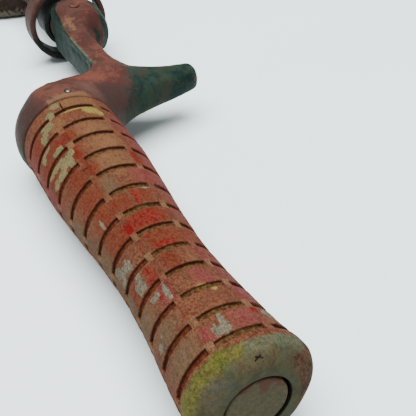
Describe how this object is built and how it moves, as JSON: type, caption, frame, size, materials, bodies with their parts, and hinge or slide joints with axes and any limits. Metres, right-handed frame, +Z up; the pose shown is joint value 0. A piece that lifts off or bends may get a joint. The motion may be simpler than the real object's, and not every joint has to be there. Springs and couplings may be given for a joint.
{
  "type": "adjustable fire hydrant wrench",
  "caption": "Adjustable hydrant wrench: cast eye head with a V jaw, clamping screw with a lock ring, and a cranked handle with a finger spur and slotted wooden grip.",
  "frame": {"origin": "under the middle of the tool's bounding box, on the flat surface that it lies on", "axes": "+X from the butt of the grip towards the head, along the clamping screw; +Z up, square to the head's flat faces; +Y towards the grip's side of the crank"},
  "size_m": [0.372, 0.0954, 0.036],
  "materials": {
    "grip_wood": "worn red paint over bare wood, with dark slots",
    "plug_wood": "aged grey-green paint",
    "casting_paint": "worn brick red over dark green",
    "ring_paint": "worn red-brown",
    "head_iron": "dark rust-brown casting",
    "screw_steel": "browned steel thread",
    "fastener_steel": "dull steel"
  },
  "bodies": {
    "head": {"head_casting": "head_iron"},
    "pad": {"pressure_pad": "head_iron"},
    "handle": {"clamp_screw": "screw_steel", "pad_screw": "fastener_steel", "hub_cross_pin": "screw_steel", "handle_casting": "casting_paint", "bolster_pin": "fastener_steel", "grip": "grip_wood", "grip_stud": "fastener_steel", "stud_washer": "fastener_steel", "stud_nut": "fastener_steel", "butt_plug": "plug_wood"},
    "washer": {"lock_washer": "screw_steel"},
    "ring": {"lock_ring": "ring_paint"}
  },
  "joints": [
    {"name": "screw_feed", "type": "slide", "parent": "head", "child": "pad", "axis": [1, 0, 0], "range_m": [-0.01, 0.025]},
    {"name": "handle_spin", "type": "hinge", "parent": "pad", "child": "handle", "pos_m": [0, -0.00075, 0.018], "axis": [1, 0, 0], "range_deg": [-720, 1800]},
    {"name": "lock_feed", "type": "slide", "parent": "handle", "child": "washer", "axis": [1, 0, 0], "range_m": [0, 0.015]},
    {"name": "lock_spin", "type": "hinge", "parent": "washer", "child": "ring", "pos_m": [0, -0.00075, 0.018], "axis": [1, 0, 0], "range_deg": [0, 1080]}
  ],
  "couplings": [
    {"joint": "screw_feed", "follows": "handle_spin", "m_per_rad": 0.00079577},
    {"joint": "lock_feed", "follows": "lock_spin", "m_per_rad": 0.00079577}
  ]
}
